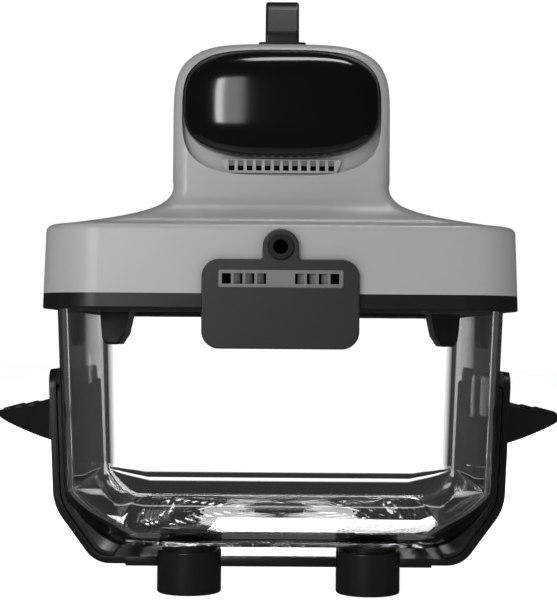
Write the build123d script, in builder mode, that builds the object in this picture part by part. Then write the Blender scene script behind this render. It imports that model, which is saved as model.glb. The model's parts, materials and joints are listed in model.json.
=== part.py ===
from build123d import *
import os
from math import cos, pi, sin

# Glass-container air fryer: a heating pod that lifts off a square glass container, which stands in a
# cradle with two side handles.  Millimetres, +Z up, -Y is the rear (cord side), +Y is the control side.
# The origin is on the floor under the middle of the container.

# ---- driving dimensions ----
# pod: black band, grey brim, shoulder and neck
BRIM_HALF_W = 125.0          # half width at the bottom of the band
BRIM_HALF_D = 112.0
BRIM_R = 31.0
BAND_Z = 151.8               # bottom of the band
BRIM_Z = 159.8               # bottom of the grey housing
SKIRT_Z = 155.6              # top of the pocket that the glass rim enters
BRIM_TOP = 192.0             # where the brim's vertical face ends
BRIM_DRAFT = 1.2             # the brim narrows by this much on each side up to BRIM_TOP
SHOULDER_EDGE = 196.0        # outer edge of the shoulder
SHOULDER_TOP = 219.0         # where the shoulder has turned into the neck
SHELL = 2.4
NECK_HALF_W = 57.2
NECK_REAR = -90.0
NECK_FRONT = 52.0
NECK_TOP = 292.6
NECK_CROWN = 42.0            # height of the rounded top of the neck
NECK_EDGE_R = 8.0
PANEL_TOP = (8.0, 282.0)     # side view: where the neck's top meets the control face
CROWN_Y = -58.0              # side view: where the neck's top starts to fall

# glass container
GLASS_HALF_W = 118.2         # at the rim
GLASS_INSET_D = 13.0         # the container is this much shallower than wide, per side
GLASS_R = 29.0
GLASS_TOP = 155.0
GLASS_FOOT = 26.5
GLASS_KNEE = 57.0            # where the wall turns in towards the foot
GLASS_DRAFT = 0.042
GLASS_WALL = 4.5
GLASS_FLOOR = 6.0
FOOT_INSET = 25.0            # how far the foot stands inside the wall
BEVEL_POWER = 1.3            # how round the turn from wall to foot is

# cradle
ARM_HALF_D = 66.5
ARM_T = 3.7
LINER_T = 2.5
LINER_GAP = 0.25
LINER_DROP = 8.0             # the liner stops this far below the arm's top
ARM_TOP = (124.3, 119.5)     # (x, z) of the outer face
ARM_KNEE = (120.8, 46.6)
ARM_HEEL = (98.2, 16.0)
ARM_END_X = 82.0
ARM_KNEE_R = 27.0
ARM_HEEL_R = 16.0
ARM_CORNER_R = 10.0
BASE_Z = (14.8, 19.8)
BASE_INNER_X = 42.0
RAIL_D = 6.0
POST_R = 17.2
POST_BOSS_R = 14.8
POST_COLLAR_Z = 23.7
POST_Z = 0.8
PAD_R = 10.0
PAD_T = 4.0
REAR_POST = (48.0, -62.0)
FRONT_POST = (53.0, 62.0)
HANDLE_TIP_X = 158.6
HANDLE_ROOT_Z = (80.0, 101.0)
HANDLE_HALF_D = (50.0, 33.0)
HANDLE_TIP_Z = (93.0, 95.4)
HANDLE_RIBS = 3
RIB_PITCH = 7.7
RIB_R = 2.3
SCREW_Z = 91.0
SCREW_Y = 24.0
SCREW_R = 2.0
SCREW_HEAD_R = 3.8

# legs under the band, which the pod stands on when it is off the glass
LEG_X = (86.5, 106.3)
LEG_Y = (0.0, 34.0)
LEG_FOOT_Z = 132.8

# rear fittings
PLATE_Y = (-114.6, -110.0)
PLATE_HALF_W = 40.1
PLATE_Z = (131.6, 177.2)
PLATE_R = 9.1
LOBE_R = 9.2
GLAND_Z = 183.4
GLAND_R = 6.65
CORD_R = 3.6
WINDOW_HALF_W = 31.8
WINDOW_Z = (162.8, 171.8)
REAR_HOLE = (4.6, 5.4)
REAR_HOLE_X = (9.6, 15.6, 21.6, 27.5)
COVER_HALF = (51.3, 28.0)
COVER_Z = 259.5
COVER_BULGE = 13.0
RECESS_HALF = (52.2, 33.1)
RECESS_Z = 255.4
RECESS_DEPTH = 5.0
HEAD_VENT_Z = (223.9, 231.0)
HEAD_VENT_HALF = (29.0, 31.8)
HEAD_SLOT = (3.1, 5.4)
HEAD_SLOTS = 12
HEAD_PITCH = 4.76

# top handle
STRAP_W = 17.9
STRAP_T = 6.5
STRAP_TOP = 320.0
STRAP_FEET = (-77.0, 2.0)    # where the strap's outer line meets the neck, rear and front
FOOT_PLATE_TOP = NECK_TOP + 1.6

# heating and fan, on the vertical axis through the origin
SHAFT_R = 4.0
BEARING_R = 8.0
BEARING_GAP = 0.04
GAP = 0.05
DECK_Z = (191.5, 193.0)
SHIELD_TOP = 184.0
SHIELD_LOW = 163.0
SHIELD_T = 0.9
INSULATION_R = (92.0, 103.0)
INSULATION_Z = (166.0, 176.0)
GUARD_Z = (157.4, 158.8)
GUARD_R = 91.5
GUARD_HOOPS = (GUARD_R, 76.0, 60.0, 44.0, 28.0)
GUARD_BAR = 2.4
ELEMENT_Z = 168.0
ELEMENT_R = 3.2
ELEMENT_TURNS = (72.0, 54.0)
LEAD_X = 12.0
MOTOR_R = 29.0
MOTOR_Z = (193.0, 228.0)
END_PLATE = 5.0

# power board, upright behind the neck's rear wall
BOARD_Y = 72.0               # its rear face is this far behind the origin
BOARD_MID_Z = 252.0
BOARD_SIZE = (84.0, 52.0)
BOARD_T = 1.6
COMPONENT_H = 16.0

# control face
CONTROL_SIZE = (88.0, 62.0, 12.0)
CONTROL_T = 2.0
DISPLAY_SIZE = (56.0, 20.0, 3.0)
DISPLAY_UP = 13.0            # above the middle of the control face
BUTTON_R = 6.0
BUTTON_GAP = 0.25
BUTTON_X = (-28.5, -9.5, 9.5, 28.5)
BUTTON_DOWN = 19.0           # below the middle of the control face
BUTTON_NAMES = ("power_button", "mode_button", "time_down_button", "time_up_button")

os.makedirs("parts", exist_ok=True)


def save(part, name):
    """Label a finished sub-part and write it to its own STEP file."""
    part.label = name
    export_step(part, f"parts/{name}.step")


def ring_section(half_w, rear, front, radius, z):
    """Rounded-rectangle section of the pod or the glass at height z."""
    with BuildSketch(Plane.XY.offset(z)) as section:
        with Locations((0, (rear + front) / 2)):
            RectangleRounded(2 * half_w, front - rear, radius)
    return section.sketch


def squircle_points(half_w, half_h, power, count):
    """Points around a superellipse, which has no flat stretch and no sharp corner."""
    points = []
    for i in range(count):
        c, s = cos(2 * pi * i / count), sin(2 * pi * i / count)
        reach = (abs(c) ** power + abs(s) ** power) ** (-1 / power)
        points.append((half_w * c * reach, half_h * s * reach))
    return points


def squircle(plane, half_w, half_h, power=3.4, count=32):
    """Superellipse face on a plane."""
    with BuildSketch(plane) as face:
        with BuildLine():
            Spline(*squircle_points(half_w, half_h, power, count), periodic=True)
        make_face()
    return face.sketch


# ================= glass container =================

def glass_half(z, inset):
    """Half width of the container's outer face at height z, less an inset."""
    wall = GLASS_HALF_W - GLASS_DRAFT * (GLASS_TOP - max(z, GLASS_KNEE)) - inset
    foot = GLASS_FOOT + (GLASS_FLOOR if inset else 0)
    drop = min(max(GLASS_KNEE - z, 0) / (GLASS_KNEE - foot), 1)
    return wall - FOOT_INSET * (1 - (1 - drop**BEVEL_POWER) ** (1 / BEVEL_POWER))


def glass_shape(inset, top, mode=Mode.ADD):
    """Square tub: drafted walls over a foot that turns in with a soft bevel."""
    foot = GLASS_FOOT + (GLASS_FLOOR if inset else 0)
    levels = [foot + (GLASS_KNEE - foot) * k for k in (0, 0.04, 0.25, 0.5, 0.75, 1)]
    for stage in (levels, (GLASS_KNEE, top)):
        sections = []
        for z in stage:
            half_w = glass_half(z, inset)
            half_d = half_w - GLASS_INSET_D
            turn_in = GLASS_HALF_W - inset - half_w
            sections.append(ring_section(half_w, -half_d, half_d, GLASS_R - inset - 0.4 * turn_in, z))
        loft(sections, mode=mode)


with BuildPart() as glass_container:
    glass_shape(0, GLASS_TOP)
    glass_shape(GLASS_WALL, GLASS_TOP, Mode.SUBTRACT)
    fillet(glass_container.faces().sort_by(Axis.Z)[-1].edges(), 1.4)
save(glass_container.part, "glass_container")


# ================= cradle =================

def arm_x(z):
    """Outer face of the arm above the knee."""
    return ARM_KNEE[0] + (ARM_TOP[0] - ARM_KNEE[0]) * (z - ARM_KNEE[1]) / (ARM_TOP[1] - ARM_KNEE[1])


def arm_strip(depth_in, thickness, top_z, end_x, half_d):
    """Curved strip that follows the arm's outer line, set in by depth_in."""
    with BuildSketch(Plane.XZ) as strip:
        with BuildLine():
            outer = FilletPolyline(
                (arm_x(top_z) - depth_in, top_z),
                (ARM_KNEE[0] - depth_in, ARM_KNEE[1] + 0.5 * depth_in),
                (ARM_HEEL[0] - 0.5 * depth_in, ARM_HEEL[1] + depth_in),
                (end_x, ARM_HEEL[1] + depth_in),
                radius=(ARM_KNEE_R - depth_in, ARM_HEEL_R - depth_in),
            )
            offset(outer, amount=thickness, side=Side.RIGHT)
        make_face()
    extrude(strip.sketch, amount=half_d, both=True)


def mirrored(part):
    """The same sub-part on the other side of the cradle."""
    with BuildPart() as other:
        add(part)
        mirror(about=Plane.YZ, mode=Mode.REPLACE)
    return other.part


with BuildPart() as right_arm:
    arm_strip(0, ARM_T, ARM_TOP[1], ARM_END_X, ARM_HALF_D)
    top_corners = right_arm.faces().sort_by(Axis.Z)[-1].edges().sort_by(SortBy.LENGTH)[:2]
    fillet(top_corners, ARM_CORNER_R)
    arm_inside = Plane(origin=(arm_x(SCREW_Z) - ARM_T, 0, SCREW_Z), x_dir=(0, 1, 0), z_dir=(-1, 0, 0))
    with Locations(arm_inside):
        with Locations((-SCREW_Y, 0), (SCREW_Y, 0)):
            CounterSinkHole(SCREW_R + GAP, SCREW_HEAD_R + GAP, depth=2 * ARM_T, counter_sink_angle=90)
save(right_arm.part, "right_arm")
save(mirrored(right_arm.part), "left_arm")

# The liner lies on the inside of the arm and carries the glass; it stops a little below the arm's top.
with BuildPart() as right_liner:
    arm_strip(ARM_T + LINER_GAP, LINER_T, ARM_TOP[1] - LINER_DROP, ARM_HEEL[0] - 10, ARM_HALF_D - 0.6)
    fillet(right_liner.faces().sort_by(Axis.Z)[-1].edges().sort_by(SortBy.LENGTH)[:2], ARM_CORNER_R - 4)
save(right_liner.part, "right_arm_liner")
save(mirrored(right_liner.part), "left_arm_liner")

with BuildPart() as right_handle:
    root_low, root_high = HANDLE_ROOT_Z
    with BuildSketch(Plane.XZ):
        with BuildLine():
            Line((arm_x(root_low), root_low), (arm_x(root_high), root_high))
            Line((arm_x(root_high), root_high), (HANDLE_TIP_X, HANDLE_TIP_Z[1]))
            Line((HANDLE_TIP_X, HANDLE_TIP_Z[1]), (HANDLE_TIP_X, HANDLE_TIP_Z[0]))
            Spline((HANDLE_TIP_X, HANDLE_TIP_Z[0]), (145, 87), (arm_x(root_low), root_low))
        make_face()
    extrude(amount=HANDLE_HALF_D[0], both=True)
    with BuildSketch(Plane.XY.offset(root_low - 10)):
        with BuildLine():
            Polyline((110, -HANDLE_HALF_D[0]), (126, -HANDLE_HALF_D[0]), (HANDLE_TIP_X, -HANDLE_HALF_D[1]),
                     (HANDLE_TIP_X, HANDLE_HALF_D[1]), (126, HANDLE_HALF_D[0]), (110, HANDLE_HALF_D[0]),
                     close=True)
        make_face()
        fillet(vertices().group_by(Axis.X)[-1], 16)
    extrude(amount=40, mode=Mode.INTERSECT)
    root = right_handle.faces().sort_by(Axis.X)[0]
    fillet(right_handle.edges() - root.edges(), 0.9)
    rise = (root_high - HANDLE_TIP_Z[1]) / (HANDLE_TIP_X - arm_x(root_high))
    for k in range(HANDLE_RIBS):
        rib_x = HANDLE_TIP_X - 5.4 - RIB_PITCH * k
        rib_z = HANDLE_TIP_Z[1] + rise * (HANDLE_TIP_X - rib_x) - 1.2
        rib_half = HANDLE_HALF_D[1] - 4 + 4 * k
        with BuildSketch(Plane.XZ):
            with Locations((rib_x, rib_z)):
                Circle(RIB_R)
        extrude(amount=rib_half, both=True)
    with Locations(Plane(origin=(arm_x(SCREW_Z), 0, SCREW_Z), x_dir=(0, 1, 0), z_dir=(-1, 0, 0))):
        with Locations((-SCREW_Y, 0), (SCREW_Y, 0)):
            Hole(SCREW_R + GAP, depth=12)
save(right_handle.part, "right_handle")
save(mirrored(right_handle.part), "left_handle")

# Countersunk screws go through each arm into its handle.
with BuildPart() as handle_screws:
    head_x = arm_x(SCREW_Z) - ARM_T + 0.4
    for side in (-1, 1):
        for y in (-SCREW_Y, SCREW_Y):
            with BuildSketch(Plane.XZ.offset(-y)) as half_profile:
                with BuildLine():
                    Polyline((side * head_x, SCREW_Z), (side * head_x, SCREW_Z + SCREW_HEAD_R - 0.8),
                             (side * (head_x + 1.1), SCREW_Z + SCREW_R),
                             (side * (head_x + 14), SCREW_Z + SCREW_R), (side * (head_x + 14), SCREW_Z),
                             close=True)
                make_face()
            revolve(half_profile.sketch, axis=Axis((0, y, SCREW_Z), (1, 0, 0)))
save(handle_screws.part, "handle_screws")


def post_hole(x, y):
    """Clearance for a foot post through the base."""
    with BuildSketch(Plane.XY.offset(BASE_Z[0] - 5)) as hole:
        with Locations((x, y)):
            Circle(POST_R + 0.15)
    extrude(hole.sketch, amount=15, mode=Mode.SUBTRACT)


with BuildPart() as right_base:
    with BuildSketch(Plane.XY.offset(BASE_Z[0])):
        with Locations(((BASE_INNER_X + ARM_END_X) / 2, 0)):
            Rectangle(ARM_END_X - BASE_INNER_X, 2 * ARM_HALF_D)
    extrude(amount=BASE_Z[1] - BASE_Z[0])
    post_hole(*REAR_POST)
    post_hole(*FRONT_POST)
save(right_base.part, "right_base_plate")
save(mirrored(right_base.part), "left_base_plate")

for rail_name, (post_x, post_y) in (("rear_rail", REAR_POST), ("front_rail", FRONT_POST)):
    side = 1 if post_y > 0 else -1
    with BuildPart() as rail:
        with BuildSketch(Plane.XY.offset(BASE_Z[0])):
            with Locations((0, side * (ARM_HALF_D - RAIL_D / 2))):
                Rectangle(2 * BASE_INNER_X, RAIL_D)
        extrude(amount=BASE_Z[1] - BASE_Z[0])
        post_hole(post_x, post_y)
        post_hole(-post_x, post_y)
    save(rail.part, rail_name)

for end, (post_x, post_y) in (("rear", REAR_POST), ("front", FRONT_POST)):
    for hand, x in (("right", post_x), ("left", -post_x)):
        with BuildPart() as post:
            with BuildSketch(Plane.XY.offset(POST_Z)):
                with Locations((x, post_y)):
                    Circle(POST_R)
            extrude(amount=POST_COLLAR_Z - POST_Z)
            fillet(post.edges().group_by(Axis.Z)[-1], 1.2)
            fillet(post.edges().group_by(Axis.Z)[0], 1.0)
            with BuildSketch(Plane.XY.offset(POST_COLLAR_Z - 1)):
                with Locations((x, post_y)):
                    Circle(POST_BOSS_R)
            extrude(amount=GLASS_FOOT - POST_COLLAR_Z + 1)
            with BuildSketch(Plane.XY):
                with Locations((x, post_y)):
                    Circle(PAD_R + GAP)
            extrude(amount=PAD_T, mode=Mode.SUBTRACT)
        save(post.part, f"{end}_{hand}_foot_post")
        with BuildPart() as pad:
            with BuildSketch(Plane.XY):
                with Locations((x, post_y)):
                    Circle(PAD_R)
            extrude(amount=PAD_T)
        save(pad.part, f"{end}_{hand}_foot_pad")


# ================= pod housing =================

def brim_half_w(z):
    """Half width of the brim's drafted side at height z."""
    return BRIM_HALF_W - BRIM_DRAFT * (z - BAND_Z) / (BRIM_TOP - BAND_Z)


def shoulder_levels(inset):
    """Sections from the brim's rounded edge up to the neck, as (half width, rear, front, radius, z)."""
    rows = []
    top_w = brim_half_w(BRIM_TOP)
    for turn in (0, 0.35, 0.7, 1):
        edge = 4.0 * (1 - cos(turn * pi / 2))
        z = BRIM_TOP + (SHOULDER_EDGE - BRIM_TOP) * sin(turn * pi / 2)
        half_d = top_w - BRIM_HALF_W + BRIM_HALF_D - edge - inset
        rows.append((top_w - edge - inset, -half_d, half_d, BRIM_R - inset - edge / 2, z - inset))
    edge_w, edge_d = rows[-1][0] + inset, rows[-1][2] + inset
    for out in (0.7, 0.42, 0.2, 0.08, 0.02, 0):
        z = SHOULDER_TOP - (SHOULDER_TOP - SHOULDER_EDGE) * out**0.3
        half_w = NECK_HALF_W + (edge_w - NECK_HALF_W) * out - inset
        rear = NECK_REAR - (edge_d + NECK_REAR) * out + inset
        front = NECK_FRONT + (edge_d - NECK_FRONT) * out - inset
        radius = NECK_EDGE_R + (BRIM_R - 2 - NECK_EDGE_R) * out
        rows.append((half_w, rear, front, radius, z - (inset if out else 0)))
    return rows


def neck_outline(inset):
    """Front view of the neck: straight sides under a squarish rounded crown."""
    half_w, top = NECK_HALF_W - inset, NECK_TOP - inset
    crown_z = NECK_TOP - NECK_CROWN
    crown_h, power, steps = top - crown_z, 3.8, 14
    points = []
    for k in range(steps + 1):
        angle = pi * k / steps
        c, v = cos(angle), sin(angle)
        reach = (abs(c) ** power + abs(v) ** power) ** (-1 / power)
        points.append((half_w * c * reach, crown_z + crown_h * v * reach))
    with BuildSketch(Plane.XZ) as outline:
        with BuildLine():
            Spline(*points, tangents=((0, 1), (0, -1)))
            Polyline((-half_w, crown_z), (-half_w, SHOULDER_TOP), (half_w, SHOULDER_TOP), (half_w, crown_z))
        make_face()
    return outline.sketch


CONTROL_DY = NECK_FRONT - PANEL_TOP[0]
CONTROL_DZ = PANEL_TOP[1] - SHOULDER_TOP
control_mid = (0, (NECK_FRONT + PANEL_TOP[0]) / 2, (PANEL_TOP[1] + SHOULDER_TOP) / 2)
control_face = Plane(origin=control_mid, x_dir=(-1, 0, 0), z_dir=(0, CONTROL_DZ, CONTROL_DY))


def neck_block(inset, rear_inset):
    """The neck: its side view run across, kept to its front view, with rounded edges."""
    with BuildPart() as neck:
        with BuildSketch(Plane.YZ) as side_view:
            with BuildLine():
                Polyline((NECK_REAR + rear_inset, SHOULDER_TOP), (NECK_REAR + rear_inset, NECK_TOP + 5),
                         (CROWN_Y, NECK_TOP + 5), (CROWN_Y, NECK_TOP - inset),
                         (PANEL_TOP[0] - inset / 2, PANEL_TOP[1] - inset),
                         (NECK_FRONT - inset, SHOULDER_TOP), close=True)
            make_face()
        extrude(side_view.sketch, amount=NECK_HALF_W + 5, both=True)
        extrude(neck_outline(inset), amount=200, both=True, mode=Mode.INTERSECT)
        if not inset:
            above = (Axis.Z, SHOULDER_TOP + 1, NECK_TOP + 1)
            rear_face = neck.faces().sort_by(Axis.Y)[0]
            fillet(rear_face.edges().filter_by_position(*above), NECK_EDGE_R)
            control = neck.faces().sort_by(Axis(control_mid, control_face.z_dir))[-1]
            fillet(control.edges().filter_by_position(*above), NECK_EDGE_R - 2)
    return neck.part


def pod_form(inset, rear_inset):
    """The pod's outer form, or the hollow inside it when inset is given."""
    neck = neck_block(inset, rear_inset)
    rows = shoulder_levels(inset)
    bottom_w = brim_half_w(BRIM_Z) - inset
    bottom_d = bottom_w - BRIM_HALF_W + BRIM_HALF_D
    with BuildPart() as form:
        bottom = ring_section(bottom_w, -bottom_d, bottom_d, BRIM_R - inset, BRIM_Z)
        loft([bottom, ring_section(*rows[0])])
        loft([ring_section(*row) for row in rows])
        add(neck)
    return form.part


RECESS_FLOOR = Plane.XZ.offset(-NECK_REAR - RECESS_DEPTH)


def recess_outline(grow):
    """Outline of the hollow in the neck's rear face."""
    plane = Plane(origin=(0, NECK_REAR, RECESS_Z), x_dir=(1, 0, 0), z_dir=(0, -1, 0))
    return squircle(plane, RECESS_HALF[0] + grow, RECESS_HALF[1] + grow)


def plate_outline(grow, y):
    """Outline of the rear plate with its round lobe, on the plane at y."""
    with BuildSketch(Plane.XZ.offset(-y)) as outline:
        with Locations((0, sum(PLATE_Z) / 2)):
            RectangleRounded(2 * (PLATE_HALF_W + grow), PLATE_Z[1] - PLATE_Z[0] + 2 * grow, PLATE_R + grow)
        with Locations((0, GLAND_Z)):
            Circle(LOBE_R + grow)
        with Locations((0, GLAND_Z - 5)):
            Rectangle(2 * (LOBE_R + grow), 10)
        shoulder = PLATE_Z[1] + grow
        inner = outline.vertices().filter_by_position(Axis.Y, shoulder - 0.1, shoulder + 0.1)
        fillet(inner.sort_by(lambda v: abs(v.X))[:2], 1.5 - grow)
    return outline.sketch


def disc(radius, z_low, z_high, mode=Mode.ADD, hole=0, centre=(0, 0)):
    """Upright disc or ring."""
    with BuildSketch(Plane.XY.offset(z_low)) as round_face:
        with Locations(centre):
            Circle(radius)
            if hole:
                Circle(hole, mode=Mode.SUBTRACT)
    extrude(round_face.sketch, amount=z_high - z_low, mode=mode)


def panel_block(width, height, radius, x, y, high, low, mode=Mode.ADD):
    """Rounded block square to the control face, between two heights above it."""
    with BuildSketch(control_face.offset(high)) as block:
        with Locations((x, y)):
            RectangleRounded(width, height, radius)
    extrude(block.sketch, amount=low - high, mode=mode)


def panel_disc(radius, x, y, high, low, mode=Mode.ADD):
    with BuildSketch(control_face.offset(high)) as round_face:
        with Locations((x, y)):
            Circle(radius)
    extrude(round_face.sketch, amount=low - high, mode=mode)


# The rear wall of the neck is thick, so the cover's recess does not break into the hollow.
pod_outer = pod_form(0, 0)

with BuildPart() as pod_housing:
    add(pod_outer)
    add(pod_form(SHELL, 9.0), mode=Mode.SUBTRACT)
    extrude(recess_outline(0), amount=-RECESS_DEPTH, mode=Mode.SUBTRACT)
    extrude(plate_outline(0.15, PLATE_Y[0]), amount=PLATE_Y[0] - PLATE_Y[1], mode=Mode.SUBTRACT)
    panel_block(*CONTROL_SIZE, 0, 0, 1, -CONTROL_T, Mode.SUBTRACT)
    panel_block(CONTROL_SIZE[0] - 8, CONTROL_SIZE[1] - 8, 8, 0, 0, 1, -SHELL * 3, Mode.SUBTRACT)
    with Locations(Plane.XZ.offset(-PLATE_Y[1] + 5)):
        with Locations((0, GLAND_Z)):
            Hole(GLAND_R + GAP, depth=20)
save(pod_housing.part, "pod_housing")


# ================= band, gasket and legs under the brim =================

with BuildPart() as base_band:
    outer_low = ring_section(BRIM_HALF_W, -BRIM_HALF_D, BRIM_HALF_D, BRIM_R, BAND_Z)
    top_w = brim_half_w(BRIM_Z)
    top_d = top_w - BRIM_HALF_W + BRIM_HALF_D
    loft([outer_low, ring_section(top_w, -top_d, top_d, BRIM_R, BRIM_Z)])
    rim_w = GLASS_HALF_W + 0.6
    rim_d = rim_w - GLASS_INSET_D
    extrude(ring_section(rim_w, -rim_d, rim_d, GLASS_R, BAND_Z), amount=SKIRT_Z - BAND_Z, mode=Mode.SUBTRACT)
    inner_w, inner_d = rim_w - 5.6, rim_d - 5.6
    with BuildSketch(Plane.XY.offset(SKIRT_Z)) as groove_ring:
        RectangleRounded(2 * (rim_w - 0.4), 2 * (rim_d - 0.4), GLASS_R - 0.4)
        RectangleRounded(2 * inner_w, 2 * inner_d, GLASS_R - 5.6, mode=Mode.SUBTRACT)
    extrude(groove_ring.sketch, amount=1.6, mode=Mode.SUBTRACT)
    fillet(base_band.edges().group_by(Axis.Z)[0].sort_by(Axis.X)[-1], 1.0)
    disc(GUARD_R + 0.3, BAND_Z, BRIM_Z + 1, Mode.SUBTRACT)
    extrude(plate_outline(0.15, PLATE_Y[0]), amount=PLATE_Y[0] - PLATE_Y[1], mode=Mode.SUBTRACT)
save(base_band.part, "base_band")

with BuildPart() as rim_gasket:
    with BuildSketch(Plane.XY.offset(GLASS_TOP + 0.05)):
        RectangleRounded(2 * (rim_w - 0.6), 2 * (rim_d - 0.6), GLASS_R - 0.6)
        RectangleRounded(2 * (inner_w + 0.2), 2 * (inner_d + 0.2), GLASS_R - 5.4, mode=Mode.SUBTRACT)
    extrude(amount=SKIRT_Z + 1.5 - GLASS_TOP - 0.05)
save(rim_gasket.part, "rim_gasket")

with BuildPart() as right_leg:
    with BuildSketch(Plane.XZ.offset(-LEG_Y[0])) as leg_front:
        with BuildLine():
            Polyline((LEG_X[0], SKIRT_Z), (LEG_X[0] + 3.5, LEG_FOOT_Z + 6), (LEG_X[0] + 7.5, LEG_FOOT_Z),
                     (LEG_X[1] - 5, LEG_FOOT_Z), (LEG_X[1] - 2.2, LEG_FOOT_Z + 3), (LEG_X[1], SKIRT_Z),
                     close=True)
        make_face()
        fillet(vertices().group_by(Axis.Y)[0], 1.8)
    extrude(leg_front.sketch, amount=-(LEG_Y[1] - LEG_Y[0]))
    fillet(right_leg.edges().group_by(Axis.Z)[0].filter_by(Axis.X), 1.2)
save(right_leg.part, "right_leg")
save(mirrored(right_leg.part), "left_leg")


# ================= rear plate, vent and cord gland =================

with BuildPart() as rear_plate:
    extrude(plate_outline(0, PLATE_Y[0]), amount=PLATE_Y[0] - PLATE_Y[1])
    fillet(rear_plate.faces().sort_by(Axis.Y)[0].edges(), 0.8)
    with BuildSketch(Plane.XZ.offset(-PLATE_Y[0])) as window:
        with Locations((0, sum(WINDOW_Z) / 2)):
            RectangleRounded(2 * WINDOW_HALF_W + 0.1, WINDOW_Z[1] - WINDOW_Z[0] + 0.1, 1.0)
    extrude(window.sketch, amount=PLATE_Y[0] - PLATE_Y[1], mode=Mode.SUBTRACT)
    with BuildSketch(Plane.XZ.offset(-PLATE_Y[0])) as gland_hole:
        with Locations((0, GLAND_Z)):
            Circle(GLAND_R + GAP)
    extrude(gland_hole.sketch, amount=PLATE_Y[0] - PLATE_Y[1], mode=Mode.SUBTRACT)
save(rear_plate.part, "rear_plate")

with BuildPart() as rear_vent:
    with BuildSketch(Plane.XZ.offset(-PLATE_Y[0] - 0.6)) as insert_face:
        with Locations((0, sum(WINDOW_Z) / 2)):
            RectangleRounded(2 * WINDOW_HALF_W, WINDOW_Z[1] - WINDOW_Z[0], 1.0)
            with Locations([(side * x, 0) for side in (-1, 1) for x in REAR_HOLE_X]):
                Rectangle(*REAR_HOLE, mode=Mode.SUBTRACT)
    extrude(insert_face.sketch, amount=PLATE_Y[0] + 0.6 - PLATE_Y[1])
save(rear_vent.part, "rear_vent_grille")

with BuildPart() as cord_gland:
    with BuildSketch(Plane.XZ.offset(-PLATE_Y[0] + 1.6)) as gland_face:
        with Locations((0, GLAND_Z)):
            Circle(GLAND_R)
            Circle(CORD_R, mode=Mode.SUBTRACT)
    extrude(gland_face.sketch, amount=-11)
    fillet(cord_gland.edges().group_by(Axis.Y)[0], 0.7)
save(cord_gland.part, "cord_gland")


# ================= rear cover and head vent =================

with BuildPart() as rear_cover:
    bulge = []
    for k in (0, 0.35, 0.6, 0.8, 0.93, 0.99):
        depth = NECK_REAR + RECESS_DEPTH - k * (COVER_BULGE + RECESS_DEPTH)
        size = (1 - k**3.2) ** (1 / 2.6)
        plane = Plane(origin=(0, depth, COVER_Z), x_dir=(1, 0, 0), z_dir=(0, -1, 0))
        bulge.append(squircle(plane, COVER_HALF[0] * size, COVER_HALF[1] * size, 3.0, 24))
    loft(bulge)
save(rear_cover.part, "rear_cover")

with BuildPart() as head_vent:
    with BuildSketch(RECESS_FLOOR) as vent_face:
        with BuildLine():
            Polyline((-HEAD_VENT_HALF[0], HEAD_VENT_Z[0]), (HEAD_VENT_HALF[0], HEAD_VENT_Z[0]),
                     (HEAD_VENT_HALF[1], HEAD_VENT_Z[1]), (-HEAD_VENT_HALF[1], HEAD_VENT_Z[1]),
                     close=True)
        make_face()
        with Locations((0, HEAD_VENT_Z[0] + 3.9)):
            with GridLocations(HEAD_PITCH, 1, HEAD_SLOTS, 1):
                Rectangle(HEAD_SLOT[0], HEAD_SLOT[1], mode=Mode.SUBTRACT)
    extrude(vent_face.sketch, amount=1.8)
save(head_vent.part, "head_vent_grille")


# ================= top handle =================

with BuildPart() as handle_foot:
    with BuildSketch(Plane.XY.offset(FOOT_PLATE_TOP)):
        with Locations((0, STRAP_FEET[0] + STRAP_T / 2)):
            RectangleRounded(25, 14, 3)
    extrude(amount=NECK_TOP - FOOT_PLATE_TOP)
save(handle_foot.part, "handle_foot_plate")

with BuildPart() as top_handle:
    with BuildSketch(Plane.YZ) as loop:
        with BuildLine():
            outer_line = FilletPolyline(
                (STRAP_FEET[0], FOOT_PLATE_TOP), (STRAP_FEET[0], FOOT_PLATE_TOP + 5),
                (STRAP_FEET[0] + 10, STRAP_TOP), (STRAP_FEET[1] + 5, STRAP_TOP - 3.5),
                (STRAP_FEET[1], PANEL_TOP[1] - 3), radius=(9, 11, 11))
            offset(outer_line, amount=STRAP_T, side=Side.RIGHT)
        make_face()
    extrude(loop.sketch, amount=STRAP_W / 2, both=True)
    for side_face in (top_handle.faces().sort_by(Axis.X)[0], top_handle.faces().sort_by(Axis.X)[-1]):
        fillet(side_face.edges().filter_by_position(Axis.Z, FOOT_PLATE_TOP + 0.5, 400), 1.4)
    add(pod_outer, mode=Mode.SUBTRACT)
save(top_handle.part, "top_handle")


# ================= control face =================

with BuildPart() as control_panel:
    panel_block(CONTROL_SIZE[0] - 0.4, CONTROL_SIZE[1] - 0.4, CONTROL_SIZE[2], 0, 0, 0, -CONTROL_T)
    panel_block(*DISPLAY_SIZE, 0, DISPLAY_UP, 0, -1, Mode.SUBTRACT)
    for x in BUTTON_X:
        panel_disc(BUTTON_R + BUTTON_GAP, x, -BUTTON_DOWN, 0, -CONTROL_T, Mode.SUBTRACT)
save(control_panel.part, "control_panel")

with BuildPart() as display_window:
    panel_block(DISPLAY_SIZE[0] - 0.2, DISPLAY_SIZE[1] - 0.2, DISPLAY_SIZE[2], 0, DISPLAY_UP, 0.1, -0.95)
save(display_window.part, "display_window")

for name, x in zip(BUTTON_NAMES, BUTTON_X):
    with BuildPart() as button:
        panel_disc(BUTTON_R, x, -BUTTON_DOWN, 1.0, -3.0)
        fillet(button.faces().sort_by(Axis(control_mid, control_face.z_dir))[-1].edges(), 0.5)
    save(button.part, name)

with BuildPart() as control_board:
    panel_block(70, 50, 2, 0, 0, -6, -7.6)
    for x in BUTTON_X:
        panel_disc(2.6, x, -BUTTON_DOWN, -4.4, -6, Mode.ADD)
save(control_board.part, "control_board")


# ================= heating, fan and motor =================

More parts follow.
